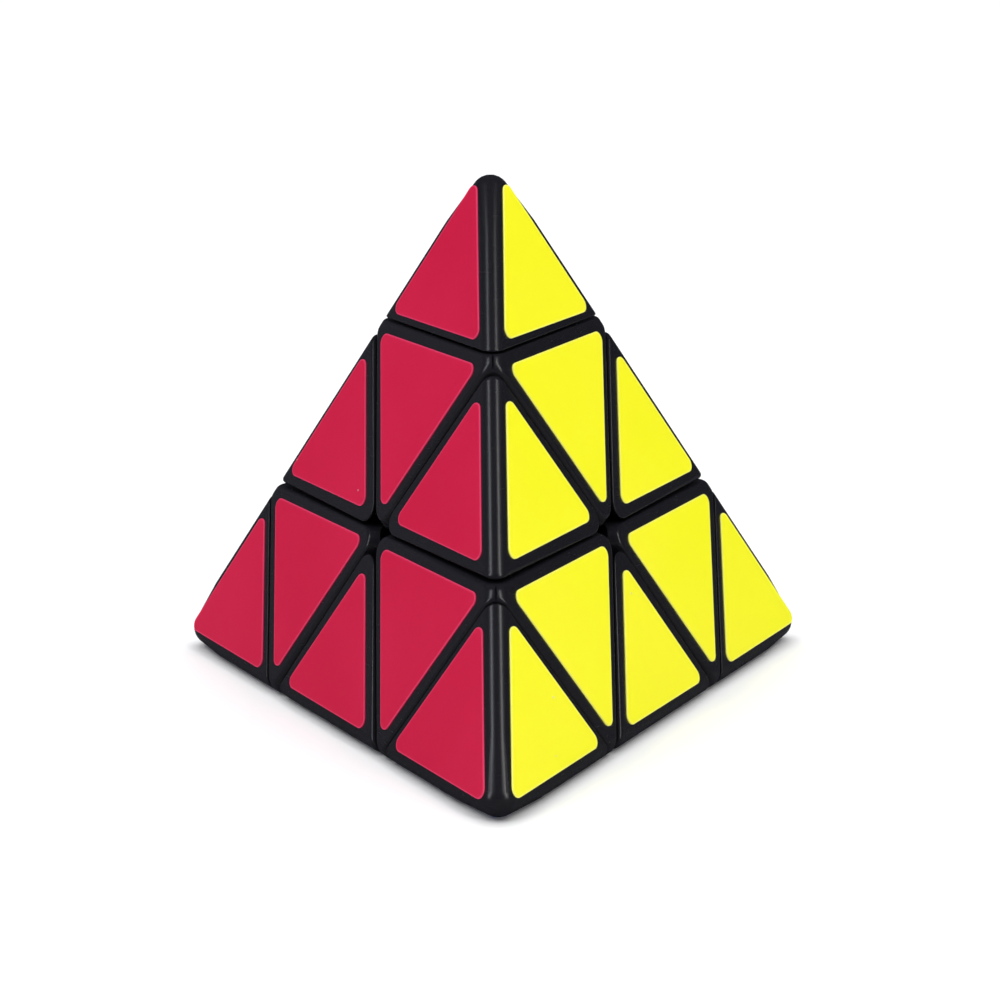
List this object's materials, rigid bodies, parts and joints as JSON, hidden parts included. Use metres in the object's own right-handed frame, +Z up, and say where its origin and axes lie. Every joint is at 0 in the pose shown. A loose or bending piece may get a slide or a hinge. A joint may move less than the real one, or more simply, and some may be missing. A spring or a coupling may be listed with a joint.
{
  "type": "pyramid twisty puzzle",
  "caption": "Tetrahedral twist puzzle: rounded black pieces with coloured stickers, whose tips and layers turn about four axes round a hidden core.",
  "frame": {"origin": "middle of the base, straight under the apex, on the plane that the base stickers rest on", "axes": "+Z up through the apex; -Y towards the front vertical-looking edge and the front point; +X towards the right point"},
  "size_m": [0.0976, 0.0855, 0.081],
  "materials": {
    "black_plastic": "satin moulded ABS, near black",
    "sticker_red": "semi-gloss vinyl sticker, crimson",
    "sticker_yellow": "semi-gloss vinyl sticker, bright yellow",
    "sticker_green": "semi-gloss vinyl sticker, green",
    "sticker_blue": "semi-gloss vinyl sticker, blue",
    "screw_steel": "zinc plated",
    "spring_steel": "bright wire"
  },
  "bodies": {
    "core": {"core": "black_plastic", "axle_screws": "screw_steel", "axle_washers": "screw_steel", "axle_springs": "spring_steel"},
    "centre_t": {"centre_t": "black_plastic", "sticker_green_centre_t": "sticker_green", "sticker_yellow_centre_t": "sticker_yellow", "sticker_red_centre_t": "sticker_red"},
    "tip_t": {"tip_t": "black_plastic", "sticker_green_tip_t": "sticker_green", "sticker_yellow_tip_t": "sticker_yellow", "sticker_red_tip_t": "sticker_red"},
    "centre_f": {"centre_f": "black_plastic", "sticker_blue_centre_f": "sticker_blue", "sticker_yellow_centre_f": "sticker_yellow", "sticker_red_centre_f": "sticker_red"},
    "tip_f": {"tip_f": "black_plastic", "sticker_blue_tip_f": "sticker_blue", "sticker_yellow_tip_f": "sticker_yellow", "sticker_red_tip_f": "sticker_red"},
    "centre_l": {"centre_l": "black_plastic", "sticker_blue_centre_l": "sticker_blue", "sticker_green_centre_l": "sticker_green", "sticker_red_centre_l": "sticker_red"},
    "tip_l": {"tip_l": "black_plastic", "sticker_blue_tip_l": "sticker_blue", "sticker_green_tip_l": "sticker_green", "sticker_red_tip_l": "sticker_red"},
    "centre_r": {"centre_r": "black_plastic", "sticker_blue_centre_r": "sticker_blue", "sticker_green_centre_r": "sticker_green", "sticker_yellow_centre_r": "sticker_yellow"},
    "tip_r": {"tip_r": "black_plastic", "sticker_blue_tip_r": "sticker_blue", "sticker_green_tip_r": "sticker_green", "sticker_yellow_tip_r": "sticker_yellow"},
    "edge_tf": {"edge_cap_tf": "black_plastic", "edge_foot_tf": "black_plastic", "sticker_yellow_edge_tf": "sticker_yellow", "sticker_red_edge_tf": "sticker_red"},
    "edge_tl": {"edge_cap_tl": "black_plastic", "edge_foot_tl": "black_plastic", "sticker_green_edge_tl": "sticker_green", "sticker_red_edge_tl": "sticker_red"},
    "edge_tr": {"edge_cap_tr": "black_plastic", "edge_foot_tr": "black_plastic", "sticker_green_edge_tr": "sticker_green", "sticker_yellow_edge_tr": "sticker_yellow"},
    "edge_fl": {"edge_cap_fl": "black_plastic", "edge_foot_fl": "black_plastic", "sticker_blue_edge_fl": "sticker_blue", "sticker_red_edge_fl": "sticker_red"},
    "edge_fr": {"edge_cap_fr": "black_plastic", "edge_foot_fr": "black_plastic", "sticker_blue_edge_fr": "sticker_blue", "sticker_yellow_edge_fr": "sticker_yellow"},
    "edge_lr": {"edge_cap_lr": "black_plastic", "edge_foot_lr": "black_plastic", "sticker_blue_edge_lr": "sticker_blue", "sticker_green_edge_lr": "sticker_green"}
  },
  "joints": [
    {"name": "layer_top", "type": "hinge", "parent": "core", "child": "centre_t", "pos_m": [0, 0, 0.02184], "axis": [0, 0, 1], "range_deg": [-120, 240]},
    {"name": "layer_front", "type": "hinge", "parent": "core", "child": "centre_f", "pos_m": [0, 0, 0.02184], "axis": [0, -0.9428, -0.3333], "range_deg": [-120, 240]},
    {"name": "layer_left", "type": "hinge", "parent": "core", "child": "centre_l", "pos_m": [0, 0, 0.02184], "axis": [-0.8165, 0.4714, -0.3333], "range_deg": [-120, 240]},
    {"name": "layer_right", "type": "hinge", "parent": "core", "child": "centre_r", "pos_m": [0, 0, 0.02184], "axis": [0.8165, 0.4714, -0.3333], "range_deg": [-120, 240]},
    {"name": "tip_top_turn", "type": "hinge", "parent": "centre_t", "child": "tip_t", "pos_m": [0, 0, 0.02184], "axis": [0, 0, 1], "continuous": true},
    {"name": "tip_front_turn", "type": "hinge", "parent": "centre_f", "child": "tip_f", "pos_m": [0, 0, 0.02184], "axis": [0, -0.9428, -0.3333], "continuous": true},
    {"name": "tip_left_turn", "type": "hinge", "parent": "centre_l", "child": "tip_l", "pos_m": [0, 0, 0.02184], "axis": [-0.8165, 0.4714, -0.3333], "continuous": true},
    {"name": "tip_right_turn", "type": "hinge", "parent": "centre_r", "child": "tip_r", "pos_m": [0, 0, 0.02184], "axis": [0.8165, 0.4714, -0.3333], "continuous": true},
    {"name": "edge_top_front_turn", "type": "hinge", "parent": "centre_t", "child": "edge_tf", "pos_m": [0, 0, 0.02184], "axis": [0, -0.9428, -0.3333], "range_deg": [-120, 240]},
    {"name": "edge_top_left_turn", "type": "hinge", "parent": "centre_t", "child": "edge_tl", "pos_m": [0, 0, 0.02184], "axis": [-0.8165, 0.4714, -0.3333], "range_deg": [-120, 240]},
    {"name": "edge_top_right_turn", "type": "hinge", "parent": "centre_t", "child": "edge_tr", "pos_m": [0, 0, 0.02184], "axis": [0.8165, 0.4714, -0.3333], "range_deg": [-120, 240]},
    {"name": "edge_front_left_turn", "type": "hinge", "parent": "centre_f", "child": "edge_fl", "pos_m": [0, 0, 0.02184], "axis": [-0.8165, 0.4714, -0.3333], "range_deg": [-120, 240]},
    {"name": "edge_front_right_turn", "type": "hinge", "parent": "centre_r", "child": "edge_fr", "pos_m": [0, 0, 0.02184], "axis": [0, -0.9428, -0.3333], "range_deg": [-120, 240]},
    {"name": "edge_left_right_turn", "type": "hinge", "parent": "centre_l", "child": "edge_lr", "pos_m": [0, 0, 0.02184], "axis": [0.8165, 0.4714, -0.3333], "range_deg": [-120, 240]}
  ],
  "couplings": [
    {"joint": "edge_top_front_turn", "follows": "layer_front", "ratio": 1},
    {"joint": "edge_top_left_turn", "follows": "layer_left", "ratio": 1},
    {"joint": "edge_top_right_turn", "follows": "layer_right", "ratio": 1},
    {"joint": "edge_front_left_turn", "follows": "layer_left", "ratio": 1},
    {"joint": "edge_front_right_turn", "follows": "layer_front", "ratio": 1},
    {"joint": "edge_left_right_turn", "follows": "layer_right", "ratio": 1}
  ]
}
